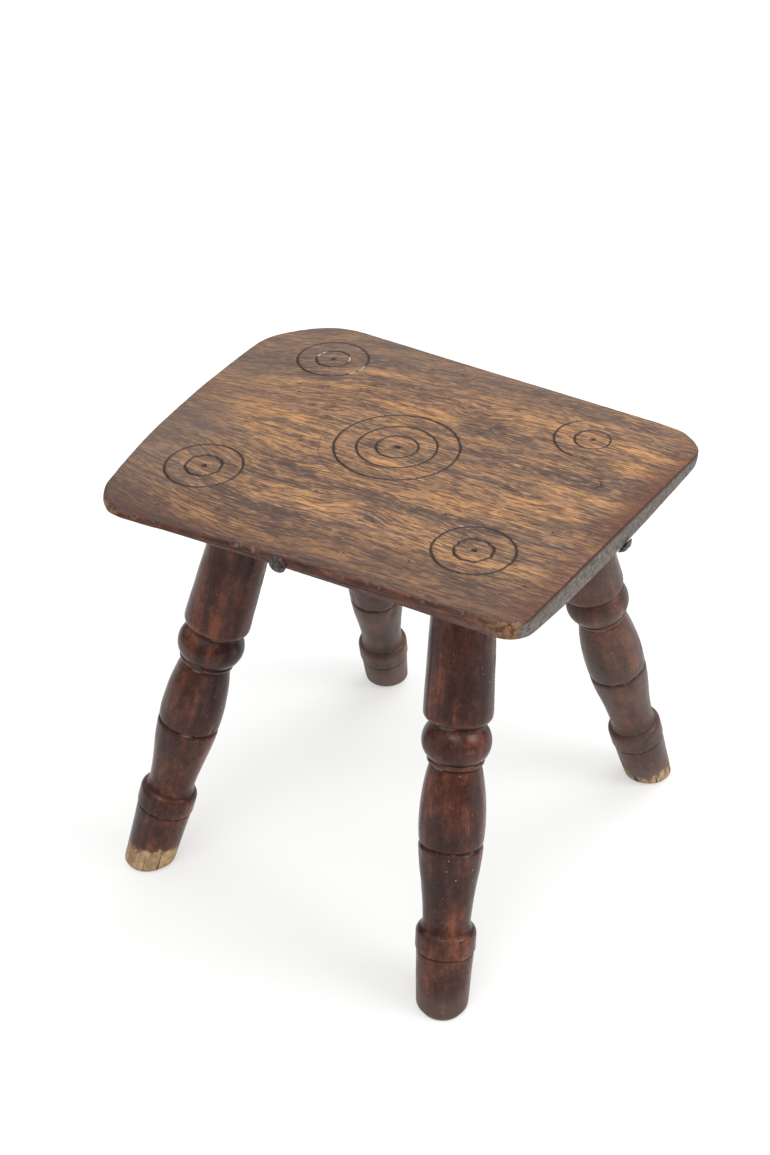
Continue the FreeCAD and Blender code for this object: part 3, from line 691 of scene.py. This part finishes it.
class Graph:
    """Short calls for building one material's nodes. Sockets and plain values can stand for any input."""

    def __init__(self, name):
        self.material = bpy.data.materials.new(name)
        self.material.use_nodes = True
        self.tree = self.material.node_tree
        self.tree.nodes.clear()

    def node(self, kind, inputs, **settings):
        made = self.tree.nodes.new(kind)
        for key, value in settings.items():
            setattr(made, key, value)
        for key, value in inputs.items():
            if isinstance(value, bpy.types.NodeSocket):
                self.tree.links.new(value, made.inputs[key])
            else:
                made.inputs[key].default_value = value
        return made

    def place(self):
        return self.node("ShaderNodeTexCoord", {}).outputs["Object"]

    def mask(self, name, output="Fac"):
        return self.node("ShaderNodeAttribute", {}, attribute_name=name).outputs[output]

    def parts(self, vector):
        return self.node("ShaderNodeSeparateXYZ", {0: vector}).outputs

    def stretch(self, vector, scales):
        return self.node("ShaderNodeVectorMath", {0: vector, 1: scales}, operation="MULTIPLY").outputs[0]

    def add(self, vector, other):
        return self.node("ShaderNodeVectorMath", {0: vector, 1: other}, operation="ADD").outputs[0]

    def noise(self, vector, scale, detail=2.0, rough=0.5, output=0):
        """Noise from 0 to 1. The scale is one number, or one for each axis; output 1 is a colour."""
        if isinstance(scale, tuple):
            vector, scale = self.stretch(vector, scale), 1.0
        inputs = {"Vector": vector, "Scale": scale, "Detail": detail, "Roughness": rough}
        return self.node("ShaderNodeTexNoise", inputs).outputs[output]

    def spot(self, vector, x, y, half_length, half_width, turn=0.0):
        """1 in the middle of an ellipse that lies on the top, turned by some degrees, and 0 outside it."""
        inputs = {
            "Vector": vector, "Location": (x * MM, y * MM, 0), "Rotation": (0, 0, math.radians(turn)),
            "Scale": (half_length * MM, half_width * MM, 1e6),
        }
        away = self.node("ShaderNodeMapping", inputs, vector_type="TEXTURE").outputs[0]
        length = self.node("ShaderNodeVectorMath", {0: away}, operation="LENGTH").outputs["Value"]
        return self.rise(length, 1.0, 0.3)

    def calc(self, operation, first, second=0.0, clamp=False):
        inputs = {0: first, 1: second}
        return self.node("ShaderNodeMath", inputs, operation=operation, use_clamp=clamp).outputs[0]

    def total(self, *pairs):
        """Sum of values, each times its weight."""
        result = 0.0
        for value, weight in pairs:
            result = self.calc("ADD", result, self.calc("MULTIPLY", value, weight))
        return result

    def strongest(self, vector, spots):
        """The highest of several spots, each given as spot's numbers and then a strength."""
        result = 0.0
        for *where, strength in spots:
            result = self.calc("MAXIMUM", result, self.calc("MULTIPLY", self.spot(vector, *where), strength))
        return result

    def rise(self, value, low, high, start=0.0, end=1.0):
        """From start to end along an easy curve, as the value goes from low to high."""
        inputs = {0: value, 1: low, 2: high, 3: start, 4: end}
        return self.node("ShaderNodeMapRange", inputs, interpolation_type="SMOOTHSTEP").outputs[0]

    def ramp(self, value, *stops):
        """A colour that goes through display shades, each given with its place from 0 to 1."""
        made = self.node("ShaderNodeValToRGB", {0: value})
        elements = made.color_ramp.elements
        while len(elements) < len(stops):
            elements.new(0.5)
        for element, (position, shade) in zip(elements, stops):
            element.position = position
            element.color = tone(*shade)
        return made.outputs[0]

    def mix(self, share, first, second):
        return self.node("ShaderNodeMix", {0: share, 6: first, 7: second}, data_type="RGBA").outputs[2]

    def tint(self, colour, share, strength, shade):
        """A colour moved towards a display shade, by a share times a strength."""
        return self.mix(self.calc("MULTIPLY", share, strength), colour, tone(*shade))

    def bump(self, height, strength, distance, normal=None):
        inputs = {"Height": height, "Strength": strength, "Distance": distance}
        if normal is not None:
            inputs["Normal"] = normal
        return self.node("ShaderNodeBump", inputs).outputs[0]

    def finish(self, colour, rough, normal_out=None, **others):
        """The material with its colour, roughness, bumps and any other inputs of its shader by name."""
        inputs = {"Base Color": colour, "Roughness": rough, **others}
        if normal_out is not None:
            inputs["Normal"] = normal_out
        shader = self.node("ShaderNodeBsdfPrincipled", inputs)
        self.node("ShaderNodeOutputMaterial", {0: shader.outputs[0]})
        return self.material


# Figure of the top: x, y, half length, half width, turn, strength. Dark streaks, then warm worn spots.
DARK_STREAKS = (
    (-122, -30, 48, 6, -16, 0.75), (-60, -47, 52, 7, -11, 0.85), (-2, -54, 40, 6, 0, 0.6),
    (78, -55, 62, 5, -1, 0.9), (118, -46, 55, 4, 2, 0.5), (-55, -64, 55, 4, -5, 0.6),
    (40, -82, 36, 3, 14, 0.7), (20, 66, 16, 5, 30, 0.5), (38, 58, 11, 4, -30, 0.5),
    (-20, -106, 90, 7, 0, 0.5), (60, 20, 80, 4, 1, 0.35), (-70, 60, 70, 4, -3, 0.35),
    (100, 95, 60, 7, -4, 0.6), (10, -70, 10, 6, -40, 0.55),
)
WARM_SPOTS = (
    (-97, 10, 34, 9, 0, 0.8), (-18, 50, 36, 11, 0, 0.8), (64, -36, 46, 9, 0, 0.75),
    (104, -20, 44, 12, 3, 0.7), (-20, -78, 26, 8, -20, 0.7), (8, -20, 50, 8, 0, 0.5),
    (40, 84, 40, 7, 0, 0.5), (-112, -2, 20, 6, 0, 0.6), (136, 44, 26, 12, 10, 0.9),
    (120, 70, 30, 9, 0, 0.5), (30, 30, 26, 7, 10, 0.5),
)
# Knots that bend the grain: x, y, reach, and how far they push it, in metres.
KNOTS = ((20, 66, 26, 0.005), (8, -68, 30, -0.005), (-70, -48, 50, 0.003))
GRAIN_WANDER = 0.03
GRAIN_ARCH = 0.05
# The seat's right edge, in metres: its x where y is 0, and how that grows with y.
RIGHT_EDGE_X = 0.1528
RIGHT_EDGE_SLOPE = 0.0987


def grain_flow(g, place):
    """Places in the seat's grain, which wanders, bends round knots and arches near the left end."""
    x, y, z = g.parts(place)
    wander = g.calc("SUBTRACT", g.noise(place, (5.0, 9.0, 9.0)), 0.5)
    arch = g.calc("MULTIPLY", g.rise(x, -0.05, -0.2), g.rise(y, -0.06, 0.07, -0.6, 1.0))
    bends = [(g.spot(place, *middle, reach, reach * 0.6), push) for *middle, reach, push in KNOTS]
    across = g.total((y, 1.0), (wander, GRAIN_WANDER), (arch, GRAIN_ARCH), *bends)
    return g.node("ShaderNodeCombineXYZ", {0: x, 1: across, 2: z}).outputs[0]


def seat_top(g, place, flow):
    """The streaked top. Returns its colour, figure, fibres, open grain and the dry underside's lines."""
    bands = g.noise(flow, (4.0, 55.0, 36.0))
    patches = g.noise(flow, (22.0, 150.0, 110.0), 3.0, 0.6)
    blotch = g.noise(place, (15.0, 28.0, 20.0), 4.0, 0.6)
    freckles = g.noise(place, (190.0, 330.0, 260.0), 3.0, 0.65)
    lines = g.noise(flow, (62.0, 760.0, 400.0), 1.0, 0.6)
    fibres = g.noise(flow, (60.0, 1400.0, 900.0), 2.0, 0.6)
    jitter = g.stretch(g.noise(place, (30.0, 90.0, 60.0), output=1), (0.024, 0.008, 0.0))
    ragged = g.add(g.add(place, jitter), (-0.012, -0.004, 0.0))
    dark = g.strongest(ragged, DARK_STREAKS)
    warm = g.strongest(ragged, WARM_SPOTS)
    figure = g.rise(g.total(
        (bands, 0.3), (patches, 0.3), (blotch, 0.26), (freckles, 0.24), (fibres, 0.2),
        (warm, 0.075), (dark, -0.0975),
    ), 0.51, 0.8)
    colour = g.ramp(
        figure, (0.0, (86, 65, 52)), (0.3, (116, 86, 65)), (0.6, (142, 104, 71)), (1.0, (176, 128, 79)),
    )
    purple = g.rise(g.noise(flow, (9.0, 120.0, 60.0), 3.0, 0.6), 0.5, 0.7)
    colour = g.tint(colour, purple, 0.25, (116, 94, 84))
    colour = g.tint(colour, warm, 0.3, (192, 132, 74))

    # Dark open grain: crisp short dashes, crowded in the dark streaks, and finer pores between them.
    crowd = g.calc("ADD", g.rise(patches, 0.65, 0.4), dark, clamp=True)
    dash = g.rise(g.total((lines, 1.0), (crowd, 0.05)), 0.54, 0.6)
    colour = g.tint(colour, dash, 0.74, (62, 46, 37))
    pores = g.noise(flow, (130.0, 1300.0, 900.0), 1.0, 0.4)
    pore = g.calc("MULTIPLY", g.rise(pores, 0.56, 0.66), g.rise(crowd, 0.0, 1.0, 0.6, 0.95))
    colour = g.tint(colour, pore, 0.6, (50, 38, 33))
    fleck = g.rise(g.noise(flow, (110.0, 700.0, 400.0), 1.0), 0.6, 0.7)
    colour = g.tint(colour, fleck, 0.4, (204, 154, 102))
    return colour, figure, fibres, dash, pore, lines


def handled(g, colour, place, front, grime):
    """Grime and handling: grey left and back margins, red-brown front, amber right arris."""
    x, y, _ = g.parts(place)
    margin = g.calc("ADD", g.rise(x, -0.06, -0.155), g.rise(y, 0.055, 0.128), clamp=True)
    colour = g.tint(colour, margin, g.rise(grime, 0.3, 0.75, 0.3, 0.75), (96, 80, 71))
    colour = g.tint(colour, front, g.rise(grime, 0.3, 0.7, 0.5, 0.9), (64, 39, 30))
    right_gap = g.total((y, RIGHT_EDGE_SLOPE), (RIGHT_EDGE_X, 1.0), (x, -1.0))
    amber = g.calc("MULTIPLY", g.rise(right_gap, 0.024, 0.0), g.rise(grime, 0.3, 0.6, 0.4, 1.0))
    return g.tint(colour, amber, 0.85, (84, 42, 22))


def long_edge_colour(g, place, front, mottle):
    """The rounded front and back edges: polished red-brown, with worn yellow-brown corners at the front."""
    x = g.parts(place)[0]
    corner = g.calc("MULTIPLY", front, g.rise(g.calc("ABSOLUTE", g.calc("ADD", x, 0.002)), 0.1, 0.14))
    streaks = g.noise(place, (40.0, 200.0, 200.0), 4.0, 0.65)
    colour = g.ramp(streaks, (0.32, (42, 22, 17)), (0.52, (76, 40, 27)), (0.7, (116, 66, 40)))
    return g.tint(colour, corner, g.rise(mottle, 0.4, 0.62), (138, 100, 58))


def end_grain_colour(g, place):
    """Fine grey dust over dark wood, open vessels, paler bottom from a painted floor reflection, dark top
    arris.
    """
    z = g.parts(place)[2]
    dust = g.noise(place, 330.0, 4.0, 0.7)
    colour = g.ramp(dust, (0.3, (74, 64, 58)), (0.5, (104, 95, 88)), (0.72, (134, 126, 119)))
    colour = g.tint(colour, g.rise(g.noise(place, 620.0, 1.0, 0.4), 0.64, 0.7), 0.75, (50, 38, 31))
    # Painted reflection: the lowest part of the end grain is tinted pale, standing in for the floor's light
    # on the lower arris.
    colour = g.tint(colour, g.rise(z, 0.292, 0.286), 0.35, (150, 142, 134))
    return g.tint(colour, g.rise(z, 0.3, 0.3035), 1.0, (62, 36, 26))


def marked(g, colour, mottle):
    """Grooves hold dark dirt, and some hold pale filler; chips show bare wood and dark pits."""
    dirt, chips, filler = (g.mask(name) for name in ("dirt", "chips", "filler"))
    colour = g.tint(colour, g.rise(dirt, 0.12, 0.6), 0.95, (38, 26, 20))
    halo = g.calc("MULTIPLY", g.rise(dirt, 0.0, 0.12), g.rise(mottle, 0.4, 0.65))
    colour = g.tint(colour, halo, 0.3, (70, 50, 40))
    crumbs = g.rise(g.total((filler, 1.0), (mottle, 1.6)), 1.55, 1.85)
    colour = g.tint(colour, crumbs, g.rise(dirt, 0.5, 0.9), (190, 178, 156))
    bare = g.calc("MULTIPLY", g.rise(chips, 0.1, 0.45), g.rise(mottle, 0.46, 0.62))
    colour = g.tint(colour, bare, 0.55, (140, 110, 88))
    return g.tint(colour, g.rise(chips, 0.25, 0.9), g.rise(mottle, 0.55, 0.4), (40, 24, 18))


def seat_wood():
    """Stained open-grained board: streaked top, red-brown front, grey end grain, dry underside."""
    g = Graph("seat_wood")
    place = g.place()
    face_x, face_y, face_z = g.parts(g.node("ShaderNodeNewGeometry", {}).outputs["Normal"])
    end_grain = g.rise(g.calc("ABSOLUTE", face_x), 0.6, 0.85)
    long_edge = g.rise(g.calc("ABSOLUTE", face_y), 0.3, 0.75)
    below = g.rise(g.calc("MULTIPLY", face_z, -1.0), 0.35, 0.8)
    front = g.rise(g.calc("MULTIPLY", g.parts(place)[1], -1.0), 0.075, 0.137)
    grime = g.noise(place, (8.0, 14.0, 9.0), 5.0, 0.65)
    mottle = g.noise(place, 300.0, 3.0, 0.6)

    colour, figure, fibres, dash, pore, lines = seat_top(g, place, grain_flow(g, place))
    colour = handled(g, colour, place, front, grime)
    colour = g.mix(long_edge, colour, long_edge_colour(g, place, front, mottle))
    colour = g.mix(end_grain, colour, end_grain_colour(g, place))
    dry = g.total((lines, 0.6), (grime, 0.4))
    dry = g.ramp(dry, (0.35, (84, 64, 50)), (0.55, (120, 96, 76)), (0.7, (150, 126, 102)))
    colour = marked(g, g.mix(below, colour, dry), mottle)

    relief = g.total((g.calc("MAXIMUM", pore, dash), -0.8), (fibres, 0.4))
    normal_out = g.bump(relief, 0.5, 0.0005)
    normal_out = g.bump(g.noise(place, 420.0, 3.0, 0.6), 0.2, 0.0006, normal_out)
    rough = g.total(
        (g.rise(figure, 0.0, 1.0, 0.52, 0.42), 1.0), (pore, 0.2),
        (g.calc("MAXIMUM", end_grain, below), 0.3), (long_edge, -0.14),
    )
    return g.finish(colour, rough, normal_out, **{"Specular IOR Level": 0.4})


def leg_wood():
    """Dark red-brown polish on turned wood: soft figure, dirt in the grooves, dust and worn feet."""
    g = Graph("leg_wood")
    place = g.mask("grain", "Vector")
    dirt, crest, foot, dust, pale = (g.mask(name) for name in ("dirt", "crest", "foot", "dust", "pale"))
    wavy = g.add(place, g.stretch(g.noise(place, (40.0, 40.0, 14.0), 3.0, output=1), (0.012, 0.012, 0.0)))
    streaks = g.noise(wavy, (120.0, 120.0, 9.0), 3.0, 0.6)
    fibres = g.noise(wavy, (1100.0, 1100.0, 60.0), 2.0, 0.6)
    blotch = g.noise(place, (34.0, 34.0, 24.0), 4.0, 0.6)
    mottle = g.noise(place, 210.0, 4.0, 0.65)
    specks = g.noise(place, 520.0, 3.0, 0.65)
    figure = g.rise(g.total((streaks, 0.34), (blotch, 0.5), (mottle, 0.22), (fibres, 0.12)), 0.48, 0.73)
    colour = g.ramp(
        figure, (0.0, (48, 27, 23)), (0.35, (68, 38, 31)), (0.7, (90, 51, 39)), (1.0, (122, 70, 48)),
    )
    colour = g.tint(colour, g.rise(specks, 0.52, 0.68), 0.5, (30, 17, 14))
    colour = g.tint(colour, g.rise(crest, 0.15, 0.7), 0.35, (132, 70, 42))

    # Dust and scuffs dull the polish, most on the back legs and near the floor.
    haze = g.rise(g.noise(place, (60.0, 60.0, 40.0), 5.0, 0.7), 0.35, 0.7)
    dusty = g.calc("MULTIPLY", dust, g.total((haze, 0.35), (0.35, 1.0)))
    dull = g.calc("ADD", dusty, g.rise(foot, 0.0, 1.0, 0.0, 0.45), clamp=True)
    colour = g.tint(colour, dull, 1.0, (108, 91, 82))
    fleck = g.rise(g.noise(place, 560.0, 1.0, 0.4), 0.765, 0.79)
    colour = g.tint(colour, fleck, 0.6, (166, 148, 132))

    # Dirt darkens each groove and leaves a thin pale line along part of its edge.
    colour = g.tint(colour, g.rise(dirt, 0.1, 0.6), 0.9, (28, 17, 14))
    line = g.calc("MULTIPLY", g.rise(dirt, 0.3, 0.5), g.rise(dirt, 0.75, 0.55))
    line = g.calc("MULTIPLY", line, g.rise(g.noise(place, 60.0), 0.48, 0.6))
    colour = g.tint(colour, line, 0.7, (146, 132, 116))

    # Bare worn wood at the bottom of the feet, with checks running up from the floor.
    checks = g.noise(place, (300.0, 300.0, 16.0))
    reach = g.rise(pale, 0.0, 1.0, 1.1, 0.3)
    bare = g.rise(g.total((foot, 1.0), (mottle, 0.8), (blotch, 1.2), (reach, -1.0)), 1.0, 1.3)
    bare = g.calc("MULTIPLY", bare, g.rise(pale, 0.0, 0.5))
    bare_colour = g.ramp(streaks, (0.35, (146, 116, 82)), (0.65, (200, 170, 128)))
    bare_colour = g.tint(bare_colour, g.rise(mottle, 0.6, 0.4), 0.5, (120, 92, 66))
    bare_colour = g.tint(bare_colour, g.rise(checks, 0.62, 0.67), 1.0, (52, 38, 28))
    colour = g.mix(bare, colour, bare_colour)

    normal_out = g.bump(g.total((fibres, 0.5), (streaks, 0.6)), 0.14, 0.0004)
    normal_out = g.bump(specks, 0.14, 0.0005, normal_out)
    normal_out = g.bump(g.calc("MULTIPLY", checks, foot), 0.3, 0.0006, normal_out)
    rough = g.total(
        (g.rise(g.noise(place, 90.0, 4.0, 0.65), 0.3, 0.7, 0.18, 0.32), 1.0),
        (g.calc("MAXIMUM", dull, bare), 0.35), (g.rise(dirt, 0.1, 0.5), 0.25),
    )
    return g.finish(colour, rough, normal_out, **{"Specular IOR Level": 0.2})


def wedge_wood():
    """Split pale wood, dry and fibrous, never seen once the stool is together."""
    g = Graph("wedge_wood")
    place = g.place()
    fibres = g.noise(place, (900.0, 900.0, 60.0), 4.0, 0.6)
    colour = g.ramp(fibres, (0.35, (120, 92, 62)), (0.65, (178, 146, 104)))
    normal_out = g.bump(fibres, 0.5, 0.0004)
    return g.finish(colour, g.rise(fibres, 0.3, 0.7, 0.9, 0.7), normal_out)


def stud_iron():
    """Old forged iron: dull grey-brown skin, rust in the low spots, bright where it is rubbed."""
    g = Graph("stud_iron")
    place = g.mask("grain", "Vector")
    skin = g.noise(place, 520.0, 4.0, 0.65)
    rust = g.rise(g.noise(place, 260.0, 4.0, 0.7), 0.48, 0.66)
    colour = g.ramp(skin, (0.35, (44, 40, 38)), (0.55, (82, 76, 72)), (0.72, (124, 118, 112)))
    colour = g.tint(colour, rust, 0.7, (76, 52, 40))
    normal_out = g.bump(skin, 0.35, 0.0004)
    metal = g.total((0.75, 1.0), (rust, -0.6))
    rough = g.rise(skin, 0.3, 0.7, 0.6, 0.42)
    return g.finish(colour, rough, normal_out, Metallic=metal)


# ---------------------------------------------------------------- stage, light and camera

FLOOR_HALF = 9.0
FLOOR_TONE = (182, 182, 181)
FLOOR_PATCH_TONE = (188, 188, 186)
FLOOR_GLOW_TONE = (254, 254, 252)
FLOOR_GLOW = 0.5
SKY_TONE = (250, 251, 255)
# Strength of the sky near the horizon and overhead, and the directions' Z between which it rises.
SKY_LOW = 0.2
SKY_HIGH = 1.1
SKY_CLIMB = (0.15, 0.75)
# Soft boxes: place in metres, size in metres, power.
SOFTBOXES = (
    ((0.1, -1.1, 2.4), 1.0, 14),
    ((0.1, 1.0, 2.3), 1.2, 16),
    ((1.7, 0.3, 1.5), 1.0, 20),
)


def make_floor():
    """Plain pale floor with a faint unevenness in its tone, lit from within so that shadows stay faint."""
    g = Graph("studio_floor")
    shade = g.noise(g.place(), 1.3)
    colour = g.tint(tone(*FLOOR_TONE), g.rise(shade, 0.3, 0.7), 0.3, FLOOR_PATCH_TONE)
    material = g.finish(colour, 0.85, **{
        "Specular IOR Level": 0.1, "Emission Color": tone(*FLOOR_GLOW_TONE), "Emission Strength": FLOOR_GLOW,
    })
    mesh = bpy.data.meshes.new("studio_floor")
    corners = [(FLOOR_HALF * x, FLOOR_HALF * y, 0) for x, y in ((-1, -1), (1, -1), (1, 1), (-1, 1))]
    mesh.from_pydata(corners, [], [(0, 1, 2, 3)])
    mesh.materials.append(material)
    floor = bpy.data.objects.new("studio_floor", mesh)
    bpy.context.scene.collection.objects.link(floor)


def make_light():
    """A pale sky that is dim near the horizon and bright overhead, and large soft boxes."""
    world = bpy.data.worlds.new("studio")
    world.use_nodes = True
    nodes, links = world.node_tree.nodes, world.node_tree.links
    background = nodes["Background"]
    background.inputs["Color"].default_value = tone(*SKY_TONE)
    direction = nodes.new("ShaderNodeTexCoord")
    split = nodes.new("ShaderNodeSeparateXYZ")
    links.new(direction.outputs["Generated"], split.inputs[0])
    climb = nodes.new("ShaderNodeMapRange")
    climb.interpolation_type = "SMOOTHSTEP"
    for index, value in enumerate((*SKY_CLIMB, SKY_LOW, SKY_HIGH), 1):
        climb.inputs[index].default_value = value
    links.new(split.outputs["Z"], climb.inputs[0])
    links.new(climb.outputs[0], background.inputs["Strength"])
    bpy.context.scene.world = world
    aim = Vector((0, 0, SEAT_HIGH.z / 2)) * MM
    for number, (place, size, power) in enumerate(SOFTBOXES):
        light = bpy.data.lights.new("softbox_%d" % number, "AREA")
        light.shape = "SQUARE"
        light.size = size
        light.energy = power
        lamp = bpy.data.objects.new("softbox_%d" % number, light)
        lamp.location = place
        lamp.rotation_euler = (aim - Vector(place)).to_track_quat("-Z", "Y").to_euler()
        bpy.context.scene.collection.objects.link(lamp)


def make_camera():
    """Camera at the stool's viewing angle, level but for a slight roll."""
    azimuth, elevation = math.radians(AZIMUTH), math.radians(ELEVATION)
    level = math.cos(elevation)
    back = Vector((math.sin(azimuth) * level, -math.cos(azimuth) * level, math.sin(elevation)))
    aim = CAMERA_AIM + Vector((0, 0, SEAT_HIGH.z / 2))
    data = bpy.data.cameras.new("camera")
    data.lens = CAMERA_LENS
    camera = bpy.data.objects.new("camera", data)
    turn = (-back).to_track_quat("-Z", "Y").to_matrix() @ Matrix.Rotation(math.radians(CAMERA_ROLL), 3, "Z")
    camera.matrix_world = Matrix.Translation((aim + back * CAMERA_DISTANCE) * MM) @ turn.to_4x4()
    bpy.context.scene.collection.objects.link(camera)
    bpy.context.scene.camera = camera


make_camera()
make_light()
make_floor()
bpy.context.scene.view_settings.view_transform = "Standard"

make_seat(seat_wood())
leg_material = leg_wood()
for leg_number, leg_name in enumerate(LEGS):
    make_leg(leg_name, leg_number, leg_material)
iron = stud_iron()
for stud_number, stud_name in enumerate(STUD_DIRECTIONS):
    make_stud(stud_name, stud_number, iron)
split_wood = wedge_wood()
for leg_name in LEGS:
    wedge = frame["nodes"]["wedge_" + leg_name]
    wedge.data.materials.clear()
    wedge.data.materials.append(split_wood)
